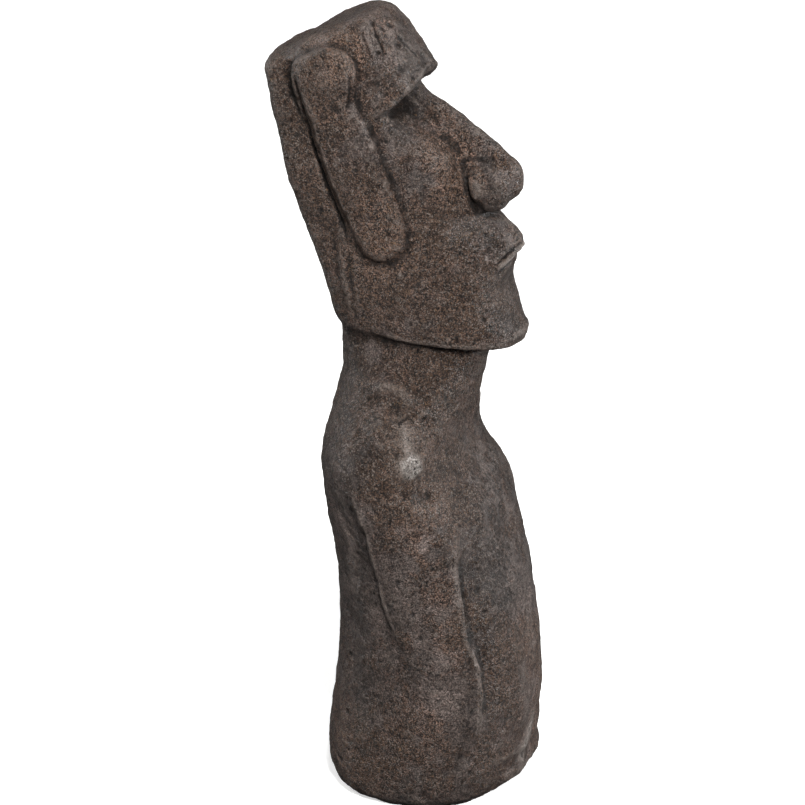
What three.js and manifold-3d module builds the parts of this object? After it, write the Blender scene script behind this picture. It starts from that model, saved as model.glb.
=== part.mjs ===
// Moai statue: head and torso cast in one piece, standing on a flat underside.
// Millimetres, +Z up. The face looks along -Y and the statue's left side is +X.
// The origin is the middle of the underside.

import * as THREE from 'three';
import { LoftGeometry } from 'three/addons/geometries/LoftGeometry.js';
import { mergeVertices } from 'three/addons/utils/BufferGeometryUtils.js';
import Module from 'manifold-3d';

// ---- driving dimensions -------------------------------------------------

// Torso and neck: [height, size] stations up the body.
const bodyHalfWidths = [
  [0, 127], [60, 128], [120, 122], [200, 120], [270, 122], [335, 125], [352, 123], [368, 117],
  [382, 109], [396, 99], [408, 89], [420, 78], [432, 69], [445, 64], [465, 61], [500, 60],
];
const bodyFronts = [
  [0, -98], [50, -103.5], [100, -106], [150, -103], [200, -95.5], [240, -87], [280, -77.5],
  [300, -70], [320, -59.5], [340, -43], [360, -34.5], [385, -34.5], [410, -41], [440, -51], [500, -51],
];
const bodyBacks = [
  [0, 102], [40, 105], [75, 101], [110, 98], [160, 95.5], [210, 97.5], [250, 101], [300, 108],
  [340, 110], [365, 107.5], [390, 101.5], [420, 95], [445, 91], [465, 90.5], [500, 88],
];
const bodyFrontSquareness = 2.25;
const bodyBackSquareness = [[0, 2.25], [400, 2.3], [440, 2.8], [470, 3.8], [500, 4.5]];
const baseEdge = { height: 24, inset: 13 };
const neckTop = 498;

// Arms: raised bands down the sides. Angles run round the body from the middle
// of the back (0) to the middle of the front (180).
const armTop = 350;
const armRearAngles = [
  [0, 90], [101, 90], [115, 92], [130, 95.5], [144, 94.5], [160, 92.5], [185, 88.5], [229, 85], [260, 80.5],
  [291, 76.5], [336, 72.5], [400, 66], [500, 60],
];
const armFrontAngles = [
  [0, 134], [80, 134], [122, 135], [144, 134.5], [166, 132.5], [184, 129.5], [216, 128], [247, 129.5],
  [273, 133.5], [297, 139], [324, 145], [400, 140], [500, 135],
];
const armRearSteps = [
  [62, 0], [74, 2.5], [90, 3.5], [120, 4], [160, 5], [240, 6], [300, 5], [330, 3], [350, 0],
];
const armFrontSteps = [[62, 0], [74, 3], [90, 5], [122, 7], [200, 10], [250, 8], [300, 4], [350, 0]];
const armHollow = 1.5;
const bellyGrooveDepths = [[80, 0], [110, 3], [200, 5], [260, 3], [300, 0]];
const bellyGroove = { past: 3, reach: 7 };
const armEdge = 3.2;
const fingertipHeight = 62;

// Swellings and hollows of the shoulders: where they are, how far they reach
// round and up the body, how fast they sink towards the front, and how far
// they stand out.
const shoulderForms = [
  { name: 'deltoid', angle: 118, height: 376, reachRound: 20, reachUp: 26, sink: 0, lift: 8 },
  { name: 'shoulder ridge', angle: 96, height: 424, reachRound: 22, reachUp: 10, sink: 0.4, lift: 6.5 },
  { name: 'dent below the ridge', angle: 102, height: 407, reachRound: 14, reachUp: 9, sink: 0.4, lift: -3 },
  { name: 'shoulder blade', angle: 45, height: 352, reachRound: 24, reachUp: 40, sink: 0, lift: 2 },
];

// Head, in its own frame: height runs up the leaning axis from the nape, depth
// runs forward from the plane of the back of the head.
const headLean = 15.5;
const nape = { y: 77.7, z: 456.3 };
const headHalfWidths = [[-36, 69], [0, 71], [60, 72], [140, 72], [245, 73.5], [300, 70], [326, 64]];
const headMiddle = 60;
const headBacks = [[-36, -3], [23, -3], [70, -6], [120, -8.5], [190, -11], [250, -8], [326, -6]];
const headFrontSquareness = 2.5;
const headBackSquareness = [[-36, 6], [230, 6], [326, 5.5]];
const jawSlope = 0.37;
const crownSlope = -0.15;
const crownHeight = 326;
const crownEdge = 10;
const chinHeight = -29;
const lowerFace = [
  [-29, 167], [-22, 169], [0, 168], [35, 166.5], [72, 168], [104, 164], [120, 161.5], [140, 160.5],
  [160, 161], [178, 156], [190, 146], [203, 134], [218, 127.5], [245, 126],
];
const forehead = [[249, 138], [252, 142.5], [258, 144], [283, 136], [302, 127], [326, 115]];
const browHeight = 248;
const browDroop = { depth: 17, reach: 35 };
const browCleft = { depth: 5, width: 9, top: 285, fade: 20 };
const muzzle = [[22, 0], [38, 3], [52, 12], [64, 21], [72, 25], [80, 24], [92, 19], [104, 8], [114, 1]];
const muzzleHalfWidth = 31;
const socket = { depth: 13, bottom: 200, top: 240, inner: 6, innerFade: 14, outer: 62, outerFade: 30 };
const mouthHeight = 72;
const mouthDroop = { depth: 15, reach: 32 };
const napeStrip = { edge: 2.5, recess: 4.5 };
const napeStripDepths = [[-29, 20], [43, 24], [73, 28], [105, 35], [326, 36]];

// Nose: a long ridge with a bulb at the tip and one at each nostril.
const noseRidge = [
  [104, 168], [112, 182], [122, 196], [136, 204], [147, 205], [163, 198], [186, 180.5],
  [217, 152.5], [235, 134.5], [252, 127.5],
];
const noseHalfWidths = [[104, 12], [120, 18], [140, 22], [164, 24], [188, 21.5], [217, 19], [252, 17]];
const noseRoot = { depth: 118, reach: 10 };
const noseSquareness = { back: 4, front: 2.1 };
const noseTip = { x: 0, depth: 185.5, height: 137, radii: [18, 25, 27] };
const nostril = { x: 14, depth: 177, height: 133, radii: [17, 24, 27] };

// Ears: long slabs with a rounded upper knob. The outline is [depth, height].
const earOutline = [
  [39, 250], [37, 286], [45, 303], [61, 310], [80, 309], [93, 298], [95.5, 278], [87, 254],
  [91, 234], [96, 205], [100, 174], [104.5, 142], [104, 116], [95, 96], [78, 89], [62, 96],
  [52, 115], [49, 142], [47, 180], [43, 218],
];
const earMiddle = { depth: 70, low: 125, high: 275 };
const earFace = 78;
const earRear = { depth: 60, fade: 12, flare: 8 };
// Rings of the ear from its root outwards: [past the face, inset, share of the rear flare].
const earRings = [[-18, 0, 1], [-8, 0, 1], [-4, 0, 0.6], [-0.5, 2, 0], [2, 6, 0], [3.5, 12, 0]];
const earKnob = { height: 283, reach: 30, lift: 3 };

// ---- helpers ------------------------------------------------------------

const { clamp, degToRad, lerp, smoothstep } = THREE.MathUtils;

function alongStations(stations) {
  const places = stations.map((station) => station[0]);
  const sizes = stations.map((station) => station[1]);
  const spline = new THREE.CubicInterpolant(places, sizes, 1);
  return (place) => spline.evaluate(clamp(place, places[0], places.at(-1)))[0];
}

function steps(start, end, count) {
  return Array.from({ length: count }, (_, i) => lerp(start, end, i / count));
}

// A point of a rounded section: angle 0 is the middle of the back and 180 the
// middle of the front. It comes with the outward direction in the section's plane.
function sectionPoint(angle, halfWidth, backReach, frontReach, backPower, frontPower) {
  const turn = degToRad(angle);
  const isBack = angle < 90;
  const reach = isBack ? backReach : frontReach;
  const power = isBack ? backPower : frontPower;
  const across = Math.abs(Math.sin(turn)) ** (2 / power);
  const along = Math.abs(Math.cos(turn)) ** (2 / power);
  const outward = new THREE.Vector2(
    across ** (power - 1) / halfWidth,
    (isBack ? 1 : -1) * along ** (power - 1) / reach,
  ).normalize();
  return { x: halfWidth * across, y: (isBack ? 1 : -1) * reach * along, outward };
}

// Mirrors half a ring, listed from the middle of the back round to the middle
// of the front, into a whole ring that runs counterclockwise seen from above.
function wholeRing(half) {
  const right = half.map((point) => new THREE.Vector3(-point.x, point.y, point.z));
  const left = half.slice(1, -1).reverse().map((point) => point.clone());
  right[0].x = 0;
  right.at(-1).x = 0;
  return [...right, ...left];
}

function loft(rings) {
  return new LoftGeometry(rings, { capStart: true, capEnd: true });
}

const wasm = await Module();
wasm.setup();

function toSolid(geometry) {
  const bare = new THREE.BufferGeometry();
  bare.setAttribute('position', geometry.getAttribute('position'));
  bare.setIndex(geometry.getIndex());
  const merged = mergeVertices(bare, 1e-3);
  return new wasm.Manifold(new wasm.Mesh({
    numProp: 3,
    vertProperties: new Float32Array(merged.attributes.position.array),
    triVerts: new Uint32Array(merged.index.array),
  }));
}

function toGeometry(solid) {
  const mesh = solid.getMesh();
  const geometry = new THREE.BufferGeometry();
  geometry.setAttribute('position', new THREE.BufferAttribute(mesh.vertProperties, 3));
  geometry.setIndex(new THREE.BufferAttribute(mesh.triVerts, 1));
  geometry.computeVertexNormals();
  return geometry;
}

// ---- torso, arms and neck -----------------------------------------------

const bodyHalfWidth = alongStations(bodyHalfWidths);
const bodyFront = alongStations(bodyFronts);
const bodyBack = alongStations(bodyBacks);
const rearAngle = alongStations(armRearAngles);
const frontAngle = alongStations(armFrontAngles);
const rearStep = alongStations(armRearSteps);
const frontStep = alongStations(armFrontSteps);
const grooveDepth = alongStations(bellyGrooveDepths);
const backSquareness = alongStations(bodyBackSquareness);

function bodyLift(angle, height) {
  return shoulderForms.reduce((sum, form) => {
    const round = (angle - form.angle) / form.reachRound;
    const up = (height - form.height + form.sink * (angle - form.angle)) / form.reachUp;
    return sum + form.lift * Math.exp(-(round ** 2) - up ** 2);
  }, 0);
}

function bodyRing(height) {
  const inset = baseEdge.inset * (1 - Math.sqrt(1 - (1 - clamp(height / baseEdge.height, 0, 1)) ** 2));
  const halfWidth = bodyHalfWidth(height) - inset;
  const front = bodyFront(height) + inset;
  const back = bodyBack(height) - inset;
  const middle = (front + back) / 2;
  const reach = (back - front) / 2;
  const rear = rearAngle(height);
  const fore = frontAngle(height);
  const edge = THREE.MathUtils.radToDeg(armEdge / reach);
  const isArm = height > fingertipHeight && height < armTop;
  const rearLift = isArm ? rearStep(height) : 0;
  const foreLift = isArm ? frontStep(height) : 0;

  const place = (angle, armLift) => {
    const point = sectionPoint(angle, halfWidth, reach, reach, backSquareness(height), bodyFrontSquareness);
    const pastArm = (angle - fore - bellyGroove.past) / bellyGroove.reach;
    const groove = angle < fore ? 0 : grooveDepth(height) * Math.exp(-(pastArm ** 2));
    const lift = armLift + bodyLift(angle, height) - groove;
    const x = point.x + point.outward.x * lift;
    const y = middle + point.y + point.outward.y * lift;
    return new THREE.Vector3(x, y, height);
  };
  const armLift = (t) => {
    const hollow = isArm ? armHollow * Math.sin(Math.PI * t ** 0.6) : 0;
    return Math.max(0, lerp(rearLift, foreLift, t) - hollow);
  };
  return wholeRing([
    ...steps(0, rear, 6).map((angle) => place(angle, 0)),
    place(rear, 0),
    ...steps(0, 1, 7).map((t) => place(lerp(rear + edge, fore - edge, t), armLift(t))),
    place(fore - edge, foreLift),
    ...steps(fore, 180, 7).map((angle) => place(angle, 0)),
    place(180, 0),
  ]);
}

function bodyGeometry() {
  const heights = [
    0, 2, 7, 14, 24, 42, 60, 65, 72, 86, 101, 116, 131, 146, 161, 177, 194, 212, 230, 249, 268,
    287, 305, 322, 337, 350, 362, 373, 384, 394, 403, 411, 419, 427, 435, 444, 456, 475, neckTop,
  ];
  return loft(heights.map(bodyRing));
}

// ---- head ---------------------------------------------------------------

const headHalfWidth = alongStations(headHalfWidths);
const lowerDepth = alongStations(lowerFace);
const foreheadDepth = alongStations(forehead);
const muzzleDepth = alongStations(muzzle);
const headBack = alongStations(headBacks);
const headBackPower = alongStations(headBackSquareness);
const stripDepth = alongStations(napeStripDepths);

// One ring round the head. Height is measured at the front of the face, and
// the ring slopes from there to the back, as the jaw and the crown do.
function headRing(height, faceDepth, inset = 0) {
  const halfWidth = headHalfWidth(height) - inset;
  const front = faceDepth(height) - inset;
  const back = headBack(height) + inset;
  const backPower = headBackPower(height);
  const slope = lerp(jawSlope, crownSlope, smoothstep(height, chinHeight, crownHeight));
  const isBrow = height > browHeight;
  const browFall = browDroop.depth * Math.exp(-(((height - browHeight) / browDroop.reach) ** 2));
  const mouthFall = mouthDroop.depth * Math.exp(-(((height - mouthHeight) / mouthDroop.reach) ** 2));

  const place = (angle, recess) => {
    const point = sectionPoint(
      angle, halfWidth, headMiddle - back, front - headMiddle, backPower, headFrontSquareness);
    const x = point.x - recess;
    let depth = headMiddle - point.y;
    let along = height + slope * (front - depth) - browFall * (x / halfWidth) ** 2;
    if (isBrow) {
      const cleft = smoothstep(browCleft.top - height, 0, browCleft.fade);
      depth -= browCleft.depth * cleft * Math.exp(-((x / browCleft.width) ** 2));
    } else if (depth > headMiddle) {
      depth += muzzleDepth(height) * Math.exp(-((x / muzzleHalfWidth) ** 2));
      const besideNose = smoothstep(x, socket.inner, socket.inner + socket.innerFade);
      const insideCheek = smoothstep(socket.outer - x, 0, socket.outerFade);
      depth -= socket.depth * besideNose * insideCheek * smoothstep(height, socket.bottom, socket.top);
      along -= mouthFall * Math.min(x / muzzleHalfWidth, 1) ** 1.5;
    }
    return new THREE.Vector3(x, -depth, along);
  };
  const angleAt = (depth) => {
    const part = clamp((headMiddle - depth) / (headMiddle - back), 0, 1);
    return THREE.MathUtils.radToDeg(Math.acos(part ** (backPower / 2)));
  };
  const strip = angleAt(stripDepth(height) - napeStrip.edge);
  const cheek = angleAt(stripDepth(height) + napeStrip.edge);
  return wholeRing([
    place(0, 0),
    ...steps(strip * 0.2, strip, 5).map((angle) => place(angle, napeStrip.recess)),
    place(strip, napeStrip.recess),
    ...steps(cheek, 180, 17).map((angle) => place(angle, 0)),
    place(180, 0),
  ]);
}

function headGeometry() {
  const lowerHeights = [
    chinHeight, -26, -20, -6, 10, 24, 35, 45, 54, 62, 68, 73, 79, 86, 95, 105, 118, 134, 150, 164, 175,
    184, 192, 200, 209, 220, 234, browHeight - 2,
  ];
  const upperHeights = [browHeight + 1, 252, 257, 266, 280, 297, crownHeight - crownEdge];
  const crownSteps = [[0.35, 0.06], [0.65, 0.24], [0.88, 0.53], [1, 1], [1.04, 1.6]];
  return loft([
    headRing(chinHeight - 1, lowerDepth, 5),
    ...lowerHeights.map((height) => headRing(height, lowerDepth)),
    ...upperHeights.map((height) => headRing(height, foreheadDepth)),
    ...crownSteps.map(([rise, inset]) => headRing(
      crownHeight - crownEdge * (1 - rise), foreheadDepth, crownEdge * inset)),
  ]);
}

// ---- nose ---------------------------------------------------------------

function noseGeometry() {
  const ridge = alongStations(noseRidge);
  const halfWidth = alongStations(noseHalfWidths);
  const heights = [104, 108, 113, 120, 128, 137, 147, 157, 170, 185, 200, 216, 234, 252];
  return loft(heights.map((height) => {
    const reach = ridge(height) - noseRoot.depth;
    const half = [...steps(0, 180, 12), 180].map((angle) => {
      const point = sectionPoint(
        angle, halfWidth(height), noseRoot.reach, reach, noseSquareness.back, noseSquareness.front);
      return new THREE.Vector3(point.x, point.y - noseRoot.depth, height);
    });
    return wholeRing(half);
  }));
}

function bulbGeometry(bulb, side) {
  const [across, deep, tall] = bulb.radii;
  const geometry = new THREE.SphereGeometry(1, 20, 14);
  geometry.rotateX(Math.PI / 2);
  geometry.scale(across, deep, tall);
  geometry.translate(side * bulb.x, -bulb.depth, bulb.height);
  return geometry;
}

// ---- ears ---------------------------------------------------------------

function earGeometry(side) {
  const corners = earOutline.map(([depth, height]) => new THREE.Vector3(0, -depth, height));
  const outline = new THREE.CatmullRomCurve3(corners, true, 'centripetal').getSpacedPoints(38).slice(0, -1);
  const ring = ([out, inset, flare]) => outline.map((point) => {
    const lift = earKnob.lift * Math.exp(-(((point.z - earKnob.height) / earKnob.reach) ** 2));
    const middleHeight = clamp(point.z, earMiddle.low, earMiddle.high);
    const inward = new THREE.Vector3(0, -earMiddle.depth, middleHeight).sub(point).setLength(inset);
    const rearward = earRear.flare * flare * smoothstep(earRear.depth + point.y, 0, earRear.fade);
    const across = side * (earFace + out + lift);
    return new THREE.Vector3(across, point.y + inward.y + rearward, point.z + inward.z);
  });
  const rings = earRings.map(ring);
  if (side < 0) rings.forEach((points) => points.reverse());
  return loft(rings);
}

// ---- the statue ---------------------------------------------------------

const toBody = new THREE.Matrix4().makeRotationX(-degToRad(headLean)).setPosition(0, nape.y, nape.z);

function statueGeometry() {
  const headPieces = [
    headGeometry(),
    noseGeometry(),
    bulbGeometry(noseTip, 1),
    bulbGeometry(nostril, -1),
    bulbGeometry(nostril, 1),
    earGeometry(-1),
    earGeometry(1),
  ];
  const solids = headPieces.map((geometry) => toSolid(geometry.applyMatrix4(toBody)));
  const statue = solids.reduce((whole, solid) => whole.add(solid), toSolid(bodyGeometry()));
  return toGeometry(statue);
}

const castStone = new THREE.MeshStandardMaterial({ color: 0x524844, roughness: 0.62, metalness: 0 });

const statue = new THREE.Mesh(statueGeometry(), castStone);
statue.name = 'statue';

const moai = new THREE.Group();
moai.add(statue);

export default moai;
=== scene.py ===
import math

import bpy
import numpy as np
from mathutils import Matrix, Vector
from mathutils.bvhtree import BVHTree
from mathutils.kdtree import KDTree


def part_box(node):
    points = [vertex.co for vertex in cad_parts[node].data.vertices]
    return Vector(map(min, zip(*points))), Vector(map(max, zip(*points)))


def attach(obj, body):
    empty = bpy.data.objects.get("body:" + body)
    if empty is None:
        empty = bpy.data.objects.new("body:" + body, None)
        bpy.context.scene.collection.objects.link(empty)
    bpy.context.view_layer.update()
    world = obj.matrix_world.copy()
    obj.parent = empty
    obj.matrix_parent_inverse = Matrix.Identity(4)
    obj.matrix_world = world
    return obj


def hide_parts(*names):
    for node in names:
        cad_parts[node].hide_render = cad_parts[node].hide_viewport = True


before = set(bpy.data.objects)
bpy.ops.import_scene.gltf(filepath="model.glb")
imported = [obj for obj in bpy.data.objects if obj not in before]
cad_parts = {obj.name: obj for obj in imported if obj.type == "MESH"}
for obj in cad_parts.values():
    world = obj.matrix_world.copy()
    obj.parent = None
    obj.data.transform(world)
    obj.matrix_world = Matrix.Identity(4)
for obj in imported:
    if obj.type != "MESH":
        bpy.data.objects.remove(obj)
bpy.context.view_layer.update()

mm = 0.001
statueLow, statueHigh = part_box("statue")
statueHeight = statueHigh.z - statueLow.z

# --- camera

cameraSetup = {
    "azimuth": -72.0,        # degrees round the statue, 0 faces it
    "elevation": 20.5,
    "distance": 5.0,         # in statue heights
    "aimHeight": 0.489,      # share of the statue's height
    "aimBack": 0.0445,       # towards the back, in statue heights
    "lens": 177.4,
    "farEnd": 50,            # metres
}


# Direction away from the statue, by angle round it and above the floor.
def awayFrom(azimuth, elevation):
    turn, rise = math.radians(azimuth), math.radians(elevation)
    return Vector((math.sin(turn) * math.cos(rise), -math.cos(turn) * math.cos(rise), math.sin(rise)))


# Puts a camera or a light at a place, looking back along a direction.
def placeLooking(data, away, location=(0, 0, 0)):
    looker = bpy.data.objects.new(data.name, data)
    looker.location = location
    looker.rotation_euler = away.to_track_quat("Z", "Y").to_euler()
    bpy.context.collection.objects.link(looker)
    return looker


def addCamera(setup):
    toCamera = awayFrom(setup["azimuth"], setup["elevation"])
    aim = Vector((0, setup["aimBack"], setup["aimHeight"])) * statueHeight
    data = bpy.data.cameras.new("camera")
    data.lens = setup["lens"]
    data.clip_end = setup["farEnd"]
    location = aim + toCamera * setup["distance"] * statueHeight
    bpy.context.scene.camera = placeLooking(data, toCamera, location)
    print("camera set")


addCamera(cameraSetup)

# --- working with points of a mesh

pull = 0.6        # share of the way to the neighbours' mean in one smoothing pass
farAway = 9.0     # metres, beyond any place on the statue
tiny = 1e-9


def readVectors(mesh, name):
    vectors = np.empty(len(mesh.vertices) * 3)
    mesh.vertices.foreach_get(name, vectors)
    return vectors.reshape(-1, 3)


def readPoints(mesh):
    return readVectors(mesh, "co")


def readNormals(mesh):
    return readVectors(mesh, "normal")


def writePoints(mesh, points):
    mesh.vertices.foreach_set("co", points.ravel())
    mesh.update()


def readEdges(mesh):
    edges = np.empty(len(mesh.edges) * 2, dtype=np.int64)
    mesh.edges.foreach_get("vertices", edges)
    return edges.reshape(-1, 2)


def storeValues(mesh, name, values):
    layer = mesh.attributes.new(name, "FLOAT", "POINT")
    layer.data.foreach_set("value", values.astype(np.float32))


# Mean of each point's neighbours, weighted along the edges.
def neighbourMean(values, edges, weights):
    first, second = edges[:, 0], edges[:, 1]
    count = len(values)
    total = np.bincount(first, weights, count) + np.bincount(second, weights, count)
    total = np.maximum(total, tiny)
    flat = values.reshape(count, -1)
    mean = np.empty_like(flat)
    for k in range(flat.shape[1]):
        pulled = np.bincount(first, weights * flat[second, k], count)
        pulled += np.bincount(second, weights * flat[first, k], count)
        mean[:, k] = pulled / total
    return mean.reshape(values.shape)


def blur(values, edges, rounds):
    weights = np.ones(len(edges))
    for _ in range(rounds):
        values = values + (neighbourMean(values, edges, weights) - values) * pull
    return values


# Eases from 0 at the start to 1 at the end.
def ramp(values, start, end):
    part = np.clip((values - start) / (end - start), 0, 1)
    return part * part * (3 - 2 * part)


# Dies away softly from 1 in the middle, over the reach.
def fallOff(distance, reach):
    return np.exp(-((distance / reach) ** 2))


# Smooth random swell: waves of about one length in seeded directions.
def swell(points, length, seed, waves=26, finest=0.6, coarsest=1.5):
    random = np.random.default_rng(seed)
    field = np.zeros(len(points))
    for _ in range(waves):
        direction = random.normal(size=3)
        direction *= random.uniform(finest, coarsest) / (np.linalg.norm(direction) * length)
        field += np.cos(points @ direction * 2 * math.pi + random.uniform(0, 2 * math.pi))
    return field * math.sqrt(2 / waves)


# Rounds a list of corner points into an even path, by cutting its corners.
def roundPath(corners, rounds=3, cut=0.25):
    path = np.array(corners, dtype=float)
    for _ in range(rounds):
        near = path[:-1] * (1 - cut) + path[1:] * cut
        far = path[:-1] * cut + path[1:] * (1 - cut)
        middle = np.stack([near, far], axis=1).reshape(-1, path.shape[1])
        path = np.vstack([path[:1], middle, path[-1:]])
    return path


# Distance of each point to a path, and how far along it (0 to 1) the nearest place is.
def distanceToPath(points, path, reach):
    distance = np.full(len(points), farAway)
    along = np.zeros(len(points))
    low, high = path.min(axis=0) - reach, path.max(axis=0) + reach
    close = np.nonzero(np.all((points > low) & (points < high), axis=1))[0]
    if len(close) == 0:
        return distance, along
    near = points[close]
    best = np.full(len(near), farAway)
    place = np.zeros(len(near))
    lengths = np.linalg.norm(np.diff(path, axis=0), axis=1)
    starts = np.concatenate([[0], np.cumsum(lengths)])
    for k in range(len(path) - 1):
        step = path[k + 1] - path[k]
        if lengths[k] < tiny:
            continue
        part = np.clip((near - path[k]) @ step / lengths[k] ** 2, 0, 1)
        gap = np.linalg.norm(near - path[k] - part[:, None] * step, axis=1)
        closer = gap < best
        best[closer] = gap[closer]
        place[closer] = (starts[k] + part[closer] * lengths[k]) / starts[-1]
    distance[close] = best
    along[close] = place
    return distance, along


# --- places on the statue

headSetup = {
    "lean": 15.5,                     # degrees that the head leans back
    "nape": (0, 77.7 * mm, 456.3 * mm),
}
headTurn = math.radians(headSetup["lean"])
headUp = np.array([0, math.sin(headTurn), math.cos(headTurn)])
headForward = np.array([0, -math.cos(headTurn), math.sin(headTurn)])
headOrigin = np.array(headSetup["nape"])


# Place in the head's own frame, in mm: across, forward of the back of the head, up from the nape.
def fromHead(across, forward, up):
    return headOrigin + np.array([across, 0, 0]) * mm + headForward * forward * mm + headUp * up * mm


# Place on the torso, in mm: across, towards the back, up from the floor.
def fromFloor(across, back, up):
    return np.array([across, back, up]) * mm


# --- stone surface

statueShape = {
    "voxel": 1.6,             # mm
    "firstRounds": 3,         # smoothing passes over everything
    "torsoRounds": 70,        # smoothing passes that keep the edges
    "headRounds": 14,
    "neck": (0.43, 0.47),     # metres above the floor, where the head's passes take over
    "keepAngle": 6.0,         # degrees between neighbours above which an edge is kept
    "keepPower": 4,           # how suddenly it is kept
    "edgeRounds": 2,          # passes over the directions that find the edges
    "edgeEvery": 6,           # passes between two looks for edges
    "flatFoot": (2.5, 0.8),   # mm above the floor, where the flat underside starts and is reached
    "triangles": 192000,
}


def copyStatue(setup):
    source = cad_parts["statue"]
    mesh = source.data.copy()
    piece = bpy.data.objects.new("moai_statue", mesh)
    bpy.context.collection.objects.link(piece)
    mesh.materials.clear()
    remesh = piece.modifiers.new("even", "REMESH")
    remesh.mode = "VOXEL"
    remesh.voxel_size = setup["voxel"] * mm
    applyModifiers(piece)
    print("statue remeshed:", len(piece.data.vertices), "points")
    return piece


def applyModifiers(piece):
    graph = bpy.context.evaluated_depsgraph_get()
    done = bpy.data.meshes.new_from_object(piece.evaluated_get(graph))
    old = piece.data
    piece.modifiers.clear()
    piece.data = done
    bpy.data.meshes.remove(old)


softSpots = {
    # places in the head (across, forward, up) and reach in mm, and the passes that melt the edges there
    "nostrils": {
        "reach": 20, "rounds": 26,
        "places": [(-22, 182, 146), (22, 182, 146)]},
    "nose bridge": {
        "reach": 16, "rounds": 8,
        "places": [(0, 132, 238)]},
    "nape": {
        "reach": 20, "rounds": 50,
        "places": [(0, 0, 30), (30, 3, 30), (-30, 3, 30), (55, 10, 28), (-55, 10, 28), (66, 24, 24),
                   (-66, 24, 24)]},
    "temples": {
        "reach": 15, "rounds": 14,
        "places": [(79, 92, 270), (-79, 92, 270)]},
}


# Melts hard joints where the carver ran one form into the next.
def meltSpots(mesh, spots, faintest=0.02):
    edges = readEdges(mesh)
    points = readPoints(mesh)
    for spot in spots.values():
        near = np.zeros(len(points))
        for place in spot["places"]:
            distance = np.linalg.norm(points - fromHead(*place), axis=1)
            near = np.maximum(near, fallOff(distance, spot["reach"] * mm))
        near[near < faintest] = 0
        close = edges[near[edges].max(axis=1) > 0]
        for _ in range(spot["rounds"]):
            mean = neighbourMean(points, close, np.ones(len(close)))
            points = points + (mean - points) * pull * near[:, None]
    writePoints(mesh, points)
    print("hard joints melted")


# Rounds off the flat facets, and keeps the carved edges.
def softenFacets(mesh, setup):
    edges = readEdges(mesh)
    points = blur(readPoints(mesh), edges, setup["firstRounds"])
    isHead = ramp(points[:, 2], *setup["neck"])[:, None]
    keep = math.radians(setup["keepAngle"])
    for k in range(setup["torsoRounds"]):
        if k % setup["edgeEvery"] == 0:
            writePoints(mesh, points)
            normals = blur(readNormals(mesh), edges, setup["edgeRounds"])
            normals /= np.linalg.norm(normals, axis=1)[:, None]
            bend = np.arccos(np.clip((normals[edges[:, 0]] * normals[edges[:, 1]]).sum(axis=1), -1, 1))
            weights = 1 / (1 + (bend / keep) ** setup["keepPower"])
        strength = pull if k < setup["headRounds"] else pull * (1 - isHead)
        points = points + (neighbourMean(points, edges, weights) - points) * strength
    writePoints(mesh, points)
    print("facets softened")


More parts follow.
